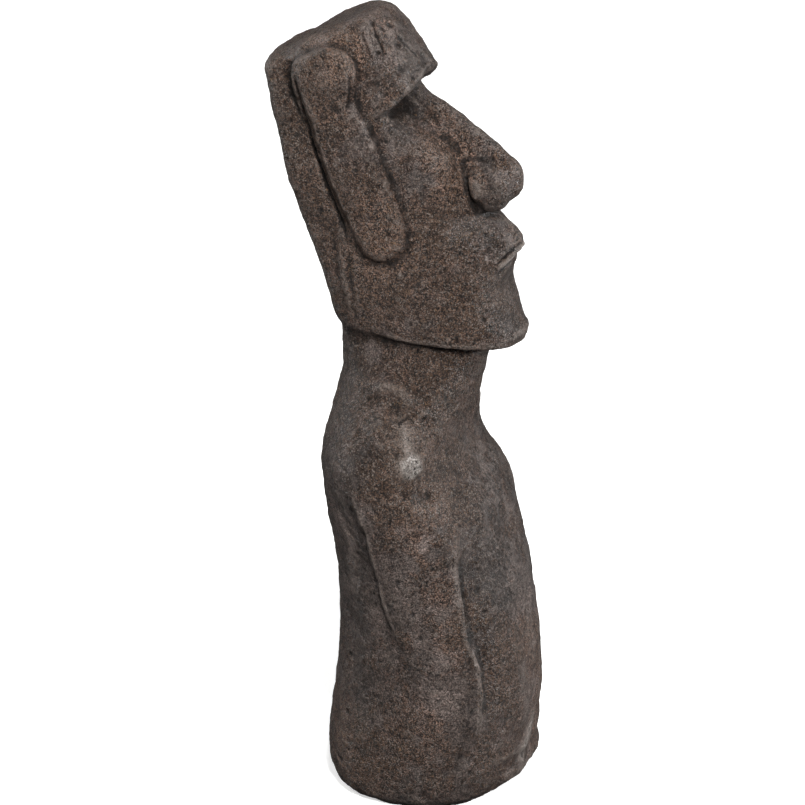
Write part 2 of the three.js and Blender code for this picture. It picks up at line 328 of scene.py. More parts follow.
# Carved ridges and grooves of one side; the other is alike unless "sides" says which (-1 is the statue's
# right). Width and lift in mm; the paint value makes a place pale with wear and painted highlight (1) or dark
# with dirt and painted shade in the grooves (-1); fade is the share of the length that dies away at each end.
torsoLines = {
    # places: across, back, up
    "arm crest": {
        "width": 6.5, "lift": 1.8, "wearDirtAndPaintedLight": 0.6, "fade": (0.15, 0.35),
        "places": [(122, 50, 343), (126, 41, 321), (126, 32, 291), (122, 24, 256), (119, 16, 225),
                   (119, 9, 205), (121, 0, 186), (125, -10, 166)]},
    "behind the arm": {
        "width": 20, "lift": -1.6, "wearDirtAndPaintedLight": -0.1, "fade": (0.3, 0.4),
        "places": [(113, 63, 325), (111, 54, 293), (111, 46, 262), (112, 37, 231), (115, 27, 206),
                   (118, 12, 178)]},
    "arm groove": {
        "width": 11, "lift": -1.5, "wearDirtAndPaintedLight": -0.6, "fade": (0.4, 0.4),
        "places": [(89, -54, 272), (90, -57, 242), (92, -60, 213), (101, -65, 188), (105, -71, 164),
                   (101, -76, 136), (99, -79, 112)]},
    "groove rim": {
        "width": 9, "lift": -1.2, "wearDirtAndPaintedLight": -0.35, "fade": (0.2, 0.2),
        "places": [(94, -52, 268), (95, -54, 243), (96, -57, 222), (100, -62, 191), (106, -70, 163),
                   (108, -74, 132)]},
    "arm front": {
        "width": 24, "lift": 1.2, "wearDirtAndPaintedLight": 0.1, "fade": (0.3, 0.3),
        "places": [(86, -38, 327), (96, -45, 305), (103, -52, 271), (108, -56, 231), (110, -61, 194)]},
    "hand": {
        "width": 16, "lift": 1.8, "wearDirtAndPaintedLight": 0.15, "fade": (0.3, 0.4),
        "places": [(121, -33, 157), (121, -36, 135), (121, -41, 103), (119, -46, 70)]},
    "shoulder ridge": {
        "width": 14, "lift": 5.2, "wearDirtAndPaintedLight": 0.6, "fade": (0.25, 0.3),
        "places": [(76, 43, 424), (74, 36, 430), (73, 29, 433), (73, 19, 432), (76, 9, 428), (79, 1, 421),
                   (80, -6, 413)]},
    "shoulder dent": {
        "width": 16, "lift": -2.0, "wearDirtAndPaintedLight": 0, "fade": (0.2, 0.2),
        "places": [(82, 24, 419), (84, 12, 412), (88, 1, 403)]},
    "shoulder": {
        "width": 36, "lift": 6.0, "wearDirtAndPaintedLight": 0.25, "fade": (0, 0),
        "places": [(97, 23, 398), (105, 13, 389), (110, 3, 377), (110, -4, 366)]},
    # a raised ridge with a painted highlight down the shoulder
    "shoulder ridge with painted highlight": {
        "width": 19, "lift": 2.6, "wearDirtAndPaintedLight": 0.65, "fade": (0.3, 0.2),
        "places": [(80, 15, 424), (90, 6, 404), (102, -1, 387), (107, -6, 371), (105, -11, 352)]},
    # painted highlight on the shoulder
    "painted shoulder highlight": {
        "width": 20, "lift": 0.3, "wearDirtAndPaintedLight": 1.7, "fade": (0.2, 0.2),
        "places": [(106, -3, 377), (107, -7, 366), (105, -11, 353)]},
    "throat": {
        "width": 18, "lift": 5.0, "wearDirtAndPaintedLight": -0.1, "fade": (0.3, 0),
        "places": [(48, -46, 462), (24, -56, 463), (0, -59, 464)]},
    "front of the shoulder": {
        "width": 20, "lift": -2.4, "wearDirtAndPaintedLight": -0.1, "fade": (0.2, 0.3),
        "places": [(80, -9, 411), (79, -17, 396), (71, -23, 373), (71, -27, 352)]},
    "under the shoulder": {
        "width": 18, "lift": -2.8, "wearDirtAndPaintedLight": -0.3, "fade": (0.2, 0.2),
        "places": [(119, 4, 339), (110, -14, 333), (92, -29, 333)]},
    "foot": {
        "width": 8, "lift": 1.4, "wearDirtAndPaintedLight": 0.5, "fade": (0.2, 0.3),
        "places": [(89, -79, 42), (60, -94, 42), (5, -102, 38)]},
    "toe": {
        "width": 18, "lift": 5.0, "wearDirtAndPaintedLight": 0.3, "fade": (0.3, 0),
        "places": [(70, -86, 18), (40, -95, 16), (0, -99, 16)]},
    # painted shade at the back of the neck, under the head
    "painted shade on the neck": {
        "width": 44, "lift": 0, "wearDirtAndPaintedLight": -0.5, "fade": (0.1, 0.1),
        "places": [(49, 79, 464), (60, 69, 432), (85, 72, 400), (98, 60, 376)]},
    # painted highlight on the front of the foot
    "toe with painted highlight": {
        "width": 24, "lift": 0.5, "wearDirtAndPaintedLight": 1.1, "fade": (0.2, 0.2), "sides": (-1,),
        "places": [(-8, -104, 76), (5, -106, 56), (20, -101, 36), (34, -97, 20)]},
    # painted highlight streak down the front of the belly
    "front with painted highlight": {
        "width": 16, "lift": 0.4, "wearDirtAndPaintedLight": 0.5, "fade": (0.3, 0.2),
        "places": [(-10, -96, 196), (-6, -102, 150), (2, -105, 112)]},
    # pale wear with painted light on the edge behind the arm
    "wear and painted light behind the arm": {
        "width": 22, "lift": 0.4, "wearDirtAndPaintedLight": 0.45, "fade": (0.2, 0.2),
        "places": [(110, 66, 345), (111, 60, 322), (111, 52, 290), (111, 58, 240), (112, 58, 200)]},
    # pale wear with painted light on the lower belly edge
    "wear and painted light on the belly": {
        "width": 26, "lift": 0.4, "wearDirtAndPaintedLight": 0.35, "fade": (0.2, 0.2),
        "places": [(40, -95, 190), (30, -101, 140), (26, -103, 95), (28, -100, 50)]},
    "foot nick": {
        "width": 8, "lift": -2.0, "wearDirtAndPaintedLight": 0.4, "fade": (0, 0),
        "places": [(101, 69, 34), (87, 82, 42)]},
}

headLines = {
    # dark paint values put painted shade into the grooves, pale ones wear and painted highlights onto the
    # ridges
    # places: across, forward, up, in the head's own frame
    "brow edge": {
        "width": 6, "lift": 1.8, "wearDirtAndPaintedLight": 0.05, "fade": (0.3, 0),
        "places": [(60, 104, 232), (59, 116, 238), (52, 126, 245), (41, 134, 250), (22, 142, 257),
                   (0, 144, 260)]},
    # painted shade under the brow, where its shadow falls, with the groove
    "under the brow": {
        "width": 17, "lift": -5.5, "wearDirtAndPaintedLight": -0.8, "fade": (0.35, 0.25),
        "places": [(57, 107, 226), (46, 112, 228), (34, 113, 229), (24, 117, 231), (16, 124, 234)]},
    "brow cleft": {
        "width": 4, "lift": -1.6, "wearDirtAndPaintedLight": -0.5, "fade": (0.2, 0),
        "places": [(3, 138, 272), (6, 140, 263), (14, 142, 256)]},
    "beside the nose": {
        "width": 8, "lift": -1.4, "wearDirtAndPaintedLight": -0.5, "fade": (0.2, 0.2),
        "places": [(14, 128, 234), (15, 137, 221), (16, 141, 210), (18, 148, 195), (19, 155, 180),
                   (20, 161, 169)]},
    "wing": {
        "width": 18, "lift": 3.8, "wearDirtAndPaintedLight": 0, "fade": (0.2, 0.2),
        "places": [(20, 168, 157), (27, 168, 147), (29, 169, 135), (28, 170, 122)]},
    "nose side": {
        "width": 26, "lift": 0.4, "wearDirtAndPaintedLight": 0.25, "fade": (0.2, 0.2),
        "places": [(21, 134, 204), (26, 147, 188), (38, 151, 170), (42, 150, 153)]},
    # painted shade on the muzzle
    "painted shade on the muzzle": {
        "width": 26, "lift": 0, "wearDirtAndPaintedLight": -0.3, "fade": (0.1, 0.2),
        "places": [(50, 145, 103), (38, 157, 101), (28, 170, 88)]},
    # painted highlight on the nose wing
    "painted highlight on the wing": {
        "width": 11, "lift": 0.4, "wearDirtAndPaintedLight": 0.9, "fade": (0, 0),
        "places": [(30, 173, 141), (30, 173, 136)]},
    "above the wing": {
        "width": 4.5, "lift": -1.6, "wearDirtAndPaintedLight": -0.6, "fade": (0.1, 0.4),
        "places": [(20, 163, 165), (18, 171, 163), (16, 179, 161), (13, 186, 161)]},
    "behind the wing": {
        "width": 6, "lift": -2.6, "wearDirtAndPaintedLight": -0.8, "fade": (0.1, 0.1),
        "places": [(20, 162, 168), (22, 159, 152), (24, 159, 143), (26, 160, 132), (23, 161, 119),
                   (20, 164, 110)]},
    "nostril": {
        "width": 8, "lift": -1.5, "wearDirtAndPaintedLight": -1.0, "fade": (0, 0),
        "places": [(27, 166, 116), (18, 166, 110), (9, 172, 104)]},
    "lip": {
        "width": 4.8, "lift": 3.0, "wearDirtAndPaintedLight": 1.25, "fade": (0, 0.2),
        "places": [(0, 191, 67), (13, 186, 63), (24, 178, 58), (34, 168, 53)]},
    "above the lip": {
        "width": 4.5, "lift": -1.5, "wearDirtAndPaintedLight": -0.5, "fade": (0.2, 0.3),
        "places": [(10, 188, 70), (18, 184, 66), (27, 178, 61), (36, 169, 56)]},
    "below the lip": {
        "width": 7, "lift": -2.4, "wearDirtAndPaintedLight": -0.7, "fade": (0, 0.3),
        "places": [(0, 186, 59), (13, 181, 56), (24, 173, 51), (33, 164, 46)]},
    "chin roll": {
        "width": 9, "lift": 2.4, "wearDirtAndPaintedLight": 0.25, "fade": (0, 0.5),
        "places": [(0, 171, -20), (16, 169, -19), (32, 163, -18), (42, 156, -16)]},
    "cheek": {
        "width": 26, "lift": 2.8, "wearDirtAndPaintedLight": 0.1, "fade": (0, 0),
        "places": [(60, 112, 200), (55, 124, 192), (50, 138, 176)]},
    "behind the ear": {
        "width": 5, "lift": -3.0, "wearDirtAndPaintedLight": -1.0, "fade": (0.1, 0.1),
        "places": [(77, 37, 296), (78, 35, 271), (70, 33, 223), (68, 35, 181), (71, 39, 135), (72, 44, 113)]},
    "ear rim": {
        "width": 7, "lift": 1.6, "wearDirtAndPaintedLight": 0.35, "fade": (0.15, 0.2),
        "places": [(80, 44, 285), (81, 43, 262), (80, 42, 225), (79, 44, 184), (80, 49, 140), (80, 56, 112)]},
    "ear knob": {
        "width": 27, "lift": 3.4, "wearDirtAndPaintedLight": 0.35, "fade": (0, 0),
        "places": [(83, 70, 284), (83, 68, 276)]},
    "ear knob crease": {
        "width": 7, "lift": -2.4, "wearDirtAndPaintedLight": -0.5, "fade": (0.3, 0.3),
        "places": [(78, 93, 290), (79, 92, 274), (77, 89, 258), (80, 82, 246), (82, 74, 241)]},
    "ear waist": {
        "width": 20, "lift": -3.2, "wearDirtAndPaintedLight": -0.1, "fade": (0.2, 0.2),
        "places": [(81, 46, 246), (83, 62, 248), (82, 76, 250)]},
    "front of the ear": {
        "width": 8, "lift": -1.4, "wearDirtAndPaintedLight": -0.45, "fade": (0.25, 0.3),
        "places": [(76, 94, 208), (77, 95, 195), (76, 98, 182), (76, 100, 170)]},
    "under the ear": {
        "width": 6, "lift": -1.2, "wearDirtAndPaintedLight": -0.3, "fade": (0.1, 0.1),
        "places": [(72, 41, 96), (72, 59, 89), (74, 81, 90), (77, 96, 101)]},
    "drip below the ear": {
        "width": 6, "lift": 1.6, "wearDirtAndPaintedLight": 0.9, "fade": (0, 0),
        "places": [(71, 86, 75), (71, 85, 73)]},
    "jaw crease": {
        "width": 7, "lift": -1.6, "wearDirtAndPaintedLight": -0.4, "fade": (0.12, 0.12),
        "places": [(72, 39, 104), (72, 34, 78), (71, 29, 53), (70, 27, 32)]},
    "crown edge": {
        "width": 18, "lift": 2.2, "wearDirtAndPaintedLight": 0.2, "fade": (0.1, 0),
        "places": [(62, 14, 293), (46, 1, 298), (24, -2, 300), (0, -3, 301)]},
    "rear edge": {
        "width": 26, "lift": 5.0, "wearDirtAndPaintedLight": 0, "fade": (0, 0.3),
        "places": [(64, 8, 296), (66, 6, 250), (66, 4, 200), (66, 2, 140)]},
    "crown slope": {
        "width": 34, "lift": -5.0, "wearDirtAndPaintedLight": 0, "fade": (0, 0),
        "places": [(50, 24, 314), (26, 16, 317), (0, 15, 318)]},
    "worn forehead": {
        "width": 36, "lift": 0.3, "wearDirtAndPaintedLight": 0.3, "fade": (0.1, 0.1),
        "places": [(36, 122, 306), (30, 130, 285), (22, 138, 262)]},
    "forehead crack": {
        "width": 4, "lift": -1.6, "wearDirtAndPaintedLight": -0.6, "fade": (0.2, 0.2), "sides": (-1,),
        "places": [(20, 128, 300), (16, 134, 284), (12, 138, 268)]},
    "middle crack": {
        "width": 3.5, "lift": -1.5, "wearDirtAndPaintedLight": -0.6, "fade": (0.2, 0.3), "sides": (-1,),
        "places": [(35, 112, 319), (42, 116, 306), (45, 119, 292), (51, 121, 279)]},
    "rear crack": {
        "width": 3.5, "lift": -1.2, "wearDirtAndPaintedLight": -0.5, "fade": (0.3, 0.3), "sides": (-1,),
        "places": [(49, 106, 316), (56, 108, 301), (56, 110, 289)]},
}

# Single pits of the statue's right side, in mm: across, back, up and width.
torsoPits = [
    (79, -70, 231, 6), (77, -76, 208, 5), (66, -80, 216, 4), (113, -14, 216, 5), (114, -22, 190, 4),
    (84, -52, 300, 4), (117, 20, 110, 5), (108, -60, 60, 6), (120, 0, 250, 4), (60, -86, 150, 5),
    (100, 70, 150, 5), (104, 66, 90, 6), (96, -64, 40, 6), (60, 92, 250, 5), (30, 100, 140, 6),
]
# The same in the head's own frame: across, forward, up and width.
headPits = [
    (35, 112, 317, 8), (30, 118, 309, 7), (17, 122, 309, 8), (42, 115, 306, 5), (27, 129, 290, 6),
    (50, 116, 290, 5), (56, 108, 262, 5), (40, 128, 268, 6), (62, 104, 205, 5), (48, 128, 210, 5),
    (34, 136, 256, 5), (66, 100, 60, 5), (60, 120, 20, 5), (48, 150, 10, 5), (74, 20, 150, 6),
    (70, 18, 230, 6), (40, -2, 180, 7), (10, -2, 90, 6), (30, 50, 322, 6), (8, 84, 324, 6),
]

carving = {
    "pitDepth": 0.35,         # share of a pit's width
    "pitDirtAndPaintedShade": -1.0,           # dark with dirt and painted shade in the pit
    "wearDirtAndPaintedLightLimits": (-1, 2),
}


def carveLines(mesh, setup):
    points = readPoints(mesh)
    normals = readNormals(mesh)
    tree = BVHTree.FromPolygons(points.tolist(), [p.vertices for p in mesh.polygons])
    lift = np.zeros(len(points))
    wearDirtAndPaintedLight = np.zeros(len(points))
    for place, lines in ((fromFloor, torsoLines), (fromHead, headLines)):
        for line in lines.values():
            width = line["width"] * mm
            fadeStart, fadeEnd = line["fade"]
            shape = np.zeros(len(points))
            for side in line.get("sides", (1, -1)):
                path = [tree.find_nearest(place(side * x, y, z))[0] for x, y, z in line["places"]]
                distance, along = distanceToPath(points, roundPath(path), width * 2)
                profile = fallOff(distance, width / 2)
                if fadeStart > 0:
                    profile *= ramp(along, 0, fadeStart)
                if fadeEnd > 0:
                    profile *= ramp(1 - along, 0, fadeEnd)
                shape = np.maximum(shape, profile)
            lift += line["lift"] * mm * shape
            # wear and painted highlight where pale, dirt and painted shade where dark
            wearDirtAndPaintedLight += line["wearDirtAndPaintedLight"] * shape
    for place, pits in ((fromFloor, torsoPits), (fromHead, headPits)):
        for x, y, z, width in pits:
            centre = np.array(tree.find_nearest(place(-x, y, z))[0])
            shape = fallOff(np.linalg.norm(points - centre, axis=1), width / 2 * mm)
            lift -= width * setup["pitDepth"] * mm * shape
            # dirt and painted shade in the pit
            wearDirtAndPaintedLight += setup["pitDirtAndPaintedShade"] * shape
    writePoints(mesh, points + normals * lift[:, None])
    storeValues(mesh, "wearDirtAndPaintedLight", np.clip(wearDirtAndPaintedLight, *setup["wearDirtAndPaintedLightLimits"]))
    print("lines carved")


stoneRelief = {
    "seed": 7,
    "swells": [(70, 0.5), (26, 0.28), (11, 0.14), (6, 0.1)],   # wave length and height, mm
    # how many, and size and depth in mm
    "pits": (420, (1.5, 3.2), (0.3, 1.2)),
    "chips": (70, (4, 9), (0.4, 1.1)),
    "baseChips": (34, (6, 15), (0.8, 2.4)),
    "baseChipTop": 46,        # mm above the floor
    "dishPower": 1.5,         # how round a pit is in section
}


def weatherStone(mesh, setup):
    points = readPoints(mesh)
    normals = readNormals(mesh)
    random = np.random.default_rng(setup["seed"])
    lift = np.zeros(len(points))
    for k, (length, height) in enumerate(setup["swells"]):
        field = swell(points, length * mm, setup["seed"] + k)
        lift += height * mm * field
    tree = KDTree(len(points))
    for k, point in enumerate(points):
        tree.insert(point, k)
    tree.balance()
    everywhere = np.arange(len(points))
    lowDown = np.nonzero(points[:, 2] < setup["baseChipTop"] * mm)[0]
    for kind, among in (("pits", everywhere), ("chips", everywhere), ("baseChips", lowDown)):
        count, sizes, depths = setup[kind]
        for centre in random.choice(among, count, replace=False):
            size = random.uniform(*sizes) * mm
            depth = random.uniform(*depths) * mm
            for _, index, distance in tree.find_range(points[centre], size):
                lift[index] -= depth * (1 - (distance / size) ** 2) ** setup["dishPower"]
    writePoints(mesh, points + normals * lift[:, None])
    print("stone weathered")


# Keeps the flat underside and stays within the statue's box.
def squareUp(mesh, setup):
    points = readPoints(mesh)
    low, high = np.array(statueLow), np.array(statueHigh)
    flatStart, flatReached = setup["flatFoot"]
    floorPart = ramp(points[:, 2], low[2] + flatStart * mm, low[2] + flatReached * mm)
    points[:, 2] += (low[2] - points[:, 2]) * floorPart
    np.clip(points, low, high, out=points)
    writePoints(mesh, points)


paintPlaces = {
    # across, back, up and reach in mm, for one side; the other is alike
    "brown": [
        (108, -16, 368, 38), (92, 16, 398, 34), (64, 0, 438, 36), (70, -30, 420, 26), (62, -92, 170, 30),
        (70, -88, 120, 26), (86, -58, 20, 36), (116, 34, 60, 34), (66, 44, 560, 40), (66, 22, 640, 34),
        (66, 0, 720, 30), (40, 130, 770, 50), (66, 118, 700, 44), (64, 104, 620, 40), (62, 92, 540, 40),
        (84, -68, 200, 26), (112, 0, 336, 26), (110, 56, 50, 44), (24, -85, 655, 20), (60, -60, 500, 34),
        (104, 60, 330, 34), (30, 98, 420, 60), (50, 130, 765, 40), (66, 70, 763, 26), (40, -20, 665, 30),
        (34, -40, 645, 26), (78, 30, 600, 44), (72, 30, 560, 40), (60, -20, 540, 40), (48, 2, 690, 22),
        (96, 62, 395, 36), (66, -16, 424, 34), (57, -33, 350, 34), (50, -45, 325, 30), (46, -42, 596, 26),
    ],
    "grey": [
        (120, -16, 250, 50), (116, -40, 140, 40), (40, -98, 210, 60), (40, -45, 340, 46), (122, 60, 200, 50),
        (62, -70, 720, 34), (52, -80, 660, 26), (60, -84, 600, 30), (20, -108, 560, 20), (60, 100, 300, 70),
        (58, 8, 640, 22),
    ],
    # painted shade: places made darker to stand for shade on the back of the head, the neck and the belly
    "dark": [
        (59, 150, 732, 18), (64, 140, 706, 18), (65, 133, 671, 18), (35, 14, 741, 14), (52, 26, 692, 13),
        (10, 40, 775, 16), (14, 24, 754, 16), (19, 12, 740, 16), (30, 14, 741, 14), (19, 30, 712, 16),
        (36, 24, 700, 14), (8, 16, 750, 14), (19, 23, 704, 13), (21, -56, 656, 12), (30, -66, 634, 14),
        (24, -73, 617, 14), (0, -62, 600, 14), (34, -60, 545, 20), (32, -70, 503, 20), (50, -35, 594, 16),
        (38, -46, 595, 14), (27, -64, 584, 13), (22, -78, 565, 13), (14, -76, 527, 17), (15, -81, 507, 17),
        (25, -86, 485, 17), (49, 79, 464, 26), (55, 70, 446, 28), (62, 68, 428, 32), (85, 79, 387, 34),
        (96, 58, 393, 32), (108, 65, 370, 30), (90, 84, 360, 36), (112, 44, 366, 24), (65, -13, 427, 26),
        (57, -28, 408, 18), (57, -33, 347, 22), (45, -50, 325, 22), (43, -69, 293, 24), (60, -74, 257, 28),
        (66, -74, 235, 24), (52, -70, 277, 24), (75, -75, 220, 22), (78, -78, 183, 18), (111, 39, 121, 22),
        (122, 25, 83, 22), (81, -84, 110, 18),
    ],
    # painted light: places made paler to stand for lit sides and rim light
    "paintedLightPlaces": [
        (63, 73, 776, 15), (66, 65, 763, 14), (83, 71, 757, 14), (83, 82, 741, 12), (82, 82, 714, 12),
        (63, 108, 774, 12), (54, 91, 785, 14), (12, 45, 791, 24), (30, 50, 792, 20), (66, 66, 764, 20),
        (22, 4, 690, 16), (24, -11, 678, 18), (45, -18, 659, 18), (28, -28, 660, 20), (42, -25, 644, 20),
        (25, -42, 645, 18), (82, 40, 618, 20), (82, 34, 594, 22), (74, 24, 565, 22), (72, 43, 562, 22),
        (94, 80, 317, 24), (94, 75, 294, 22), (108, 55, 281, 15), (117, -26, 289, 18), (117, -40, 135, 20),
        (117, -42, 100, 18), (118, -42, 222, 18), (117, -48, 179, 18), (5, -100, 186, 24), (0, -104, 146, 24),
        (5, -106, 106, 24), (12, -104, 64, 24), (22, -101, 34, 22), (70, 85, 85, 22), (94, 76, 52, 22),
        (109, 61, 32, 22),
    ],
}

paintMeasures = {
    "limit": 1.2,             # strongest paint where places overlap
    # smoothing passes that show fine creases and broad hollows
    "creaseRounds": 5,
    "creaseSoftening": 1,
    "hollowRounds": 60,
    "hollowFacing": 30,
    "hollowSoftening": 6,
}


# How strongly each point is painted: 1 near the first kind of place, -1 near the second.
def measurePaint(points, gained, lost, limit):
    folded = points.copy()
    folded[:, 0] = np.abs(folded[:, 0])
    amount = np.zeros(len(points))
    for sign, places in ((1, gained), (-1, lost)):
        for across, back, up, reach in places:
            gap = np.linalg.norm(folded - fromFloor(across, back, up), axis=1)
            amount += sign * fallOff(gap, reach * mm)
    return np.clip(amount, -limit, limit)


# Painted places, creases and broad hollows, for the colours.
def measureForms(mesh, places, setup):
    edges = readEdges(mesh)
    points = readPoints(mesh)
    normals = readNormals(mesh)
    storeValues(mesh, "soil", measurePaint(points, places["brown"], places["grey"], setup["limit"]))
    # painted light and painted shade, from the pale and dark places
    storeValues(mesh, "paintedLightAndShade", measurePaint(points, places["paintedLightPlaces"], places["dark"], setup["limit"]))
    # how far each point is sunk in a crease, for painted shade there and pale wear on the edges
    sunk = blur(points, edges, setup["creaseRounds"]) - points
    fine = (sunk * normals).sum(axis=1)
    storeValues(mesh, "crease", blur(fine, edges, setup["creaseSoftening"]) / mm)
    sunk = blur(points, edges, setup["hollowRounds"]) - points
    broad = (sunk * blur(normals, edges, setup["hollowFacing"])).sum(axis=1)
    storeValues(mesh, "hollow", blur(broad, edges, setup["hollowSoftening"]) / mm)
    print("forms measured")


def thinOut(piece, count):
    triangles = sum(len(face.vertices) - 2 for face in piece.data.polygons)
    if triangles > count:
        decimate = piece.modifiers.new("thin", "DECIMATE")
        decimate.ratio = count / triangles
        decimate.use_collapse_triangulate = True
        applyModifiers(piece)
    print("statue thinned from", triangles, "to", len(piece.data.polygons), "triangles")


def buildStatue():
    piece = copyStatue(statueShape)
    mesh = piece.data
    softenFacets(mesh, statueShape)
    meltSpots(mesh, softSpots)
    carveLines(mesh, carving)
    weatherStone(mesh, stoneRelief)
    squareUp(mesh, statueShape)
    measureForms(mesh, paintPlaces, paintMeasures)
    thinOut(piece, statueShape["triangles"])
    squareUp(piece.data, statueShape)
    for face in piece.data.polygons:
        face.use_smooth = True
    return piece


# --- painted stone finish

stonePaint = {
    "ground": (0.081, 0.051, 0.040),
    "grey": (0.077, 0.058, 0.051),
    "dark": (0.006, 0.004, 0.003),
    "brown": (0.125, 0.070, 0.040),
    "earth": (0.100, 0.060, 0.042),
    # pale for wear, painted highlights and painted glints
    "paleWearAndPaintedLight": (0.175, 0.142, 0.122),
    # painted highlight
    "paintedHighlight": (0.42, 0.39, 0.36),
    "fibre": (0.240, 0.145, 0.085),
    "earthCover": 0.6,
    "paintedLightAndShadePower": 1.9,         # how many times paler the painted light makes a place, and darker the painted shade
    "grain": 900.0,           # grains per metre
    "grainPower": 2.4,
    "brushStretch": (1.0, 1.0, 0.12),   # the strokes run up the statue
    "specular": 0.4,
    "bump": 1.0,
    "bumpDepth": 2.6,         # mm
}

stoneNoises = {
    # forms per metre, detail, roughness, distortion
    "patches": (13.0, 6.0, 0.62, 0.3),
    "mottle": (33.8, 5.0, 0.7, 0.4),
    "clouds": (54.6, 6.0, 0.68, 0.0),
    "wrinkle": (110.0, 2.0, 0.6, 1.2),
    "fibreCluster": (120.0, 2.0, 0.6, 0.0),
    "strokes": (130.0, 3.0, 0.6, 0.0),
    "strand": (165.0, 1.0, 0.5, 0.6),
    "crumb": (230.0, 3.0, 0.7, 0.8),
    "spots": (330.0, 1.0, 0.5, 0.8),
    "coarse": (380.0, 3.0, 0.75, 0.0),
}

# How much each thing adds to the soil: it gathers in the hollows, and the brush takes it off.
soilMix = {"soil": 0.16, "hollow": 0.14, "clouds": 0.9, "strokes": -0.2}

paintSpans = {
    # value from and to, and what they turn into (0 and 1 where it is left out)
    "hollow": (0.0, 3.0),
    "brownShare": (0.46, 0.66),
    "greyShare": (0.44, 0.32),
    "strokeTone": (0.32, 0.68, 0.80, 1.18),
    "mottleTone": (0.38, 0.60, 0.45, 1.12),
    "brownTone": (0.0, 1.0, 1.05, 0.72),
    "paintedLightAndShadeBreak": (0.35, 0.65, 0.45, 1.25),
    "grainTone": (0.0, 1.0, 0.10, 1.50),
    "grainShare": (0.0, 1.0, 1.0, 0.6),
    "coarseTone": (0.36, 0.64, 0.96, 1.04),
    "fibreCluster": (0.58, 0.64),
    "fibreShare": (0.0, 1.0, 0.35, 1.0),
    "crumbHeight": (0.0, 1.0, 0.3, 1.2),
    "roughness": (0.3, 0.7, 0.36, 0.62),
}

# Coats over the ground, from the first to the last. Each has what shows it and what breaks it up, with
# their spans, how well it covers, and its colour.
paintCoats = {
    "brown grain": {
        "shows": ("speck", 0.46, 0.28), "breaks": ("brownShare", 0.0, 1.0, 0.12, 0.7),
        "cover": 0.7, "colour": "brown"},
    "dark grain": {
        "shows": ("grain", 0.28, 0.16), "breaks": ("brownShare", 0.0, 1.0, 0.4, 1.0),
        "cover": 0.85, "colour": "dark"},
    "gap": {
        "shows": ("crumb", 0.44, 0.36), "breaks": ("brownShare", 0.0, 1.0, 0.1, 0.6),
        "cover": 1.0, "colour": "dark"},
    # pale single grains painted as glints
    "painted glint grain": {
        "shows": ("glint", 0.86, 0.92), "breaks": ("grainShare", 0.0, 1.0),
        "cover": 0.9, "colour": "paleWearAndPaintedLight"},
    # pale wear and painted highlights along the ridges
    "wear and painted highlight": {
        "shows": ("wearDirtAndPaintedLight", 0.08, 0.9), "breaks": ("coarse", 0.36, 0.58, 0.25, 1.0),
        "cover": 0.7, "colour": "paleWearAndPaintedLight"},
    # painted highlight where the paint value runs highest
    "paintedHighlight": {
        "shows": ("wearDirtAndPaintedLight", 0.6, 1.8), "breaks": ("grain", 0.1, 0.8, 0.25, 1.0),
        "cover": 0.9, "colour": "paintedHighlight"},
    # dirt and painted shade in the grooves
    "grime and painted shade": {
        "shows": ("wearDirtAndPaintedLight", -0.1, -0.9), "breaks": ("crumb", 0.3, 0.6, 1.0, 0.5),
        "cover": 0.85, "colour": "dark"},
    "worn edge": {
        "shows": ("crease", -0.03, -0.22), "breaks": ("coarse", 0.40, 0.56),
        "cover": 0.55, "colour": "paleWearAndPaintedLight"},
    # painted shade in every crease
    "painted crease shade": {
        "shows": ("crease", 0.03, 0.26), "breaks": ("clouds", 0.36, 0.56, 0.3, 0.9),
        "cover": 1.0, "colour": "dark"},
    "pit": {
        "shows": ("spots", 0.62, 0.68), "breaks": ("clouds", 0.45, 0.55),
        "cover": 0.9, "colour": "dark"},
    "wrinkle": {
        "shows": ("wrinkleLine", 0.022, 0.006), "breaks": ("clouds", 0.44, 0.56),
        "cover": 0.7, "colour": "dark"},
    "fibre": {
        "shows": ("strandLine", 0.018, 0.008), "breaks": ("fibrePlaces", 0.0, 1.0),
        "cover": 0.8, "colour": "fibre"},
}

# Height of each form in the bump.
stoneGrit = {"dome": 0.30, "grain": 0.75, "coarse": 0.45, "pit": -0.8, "wrinkle": -0.5, "fibre": 0.5}


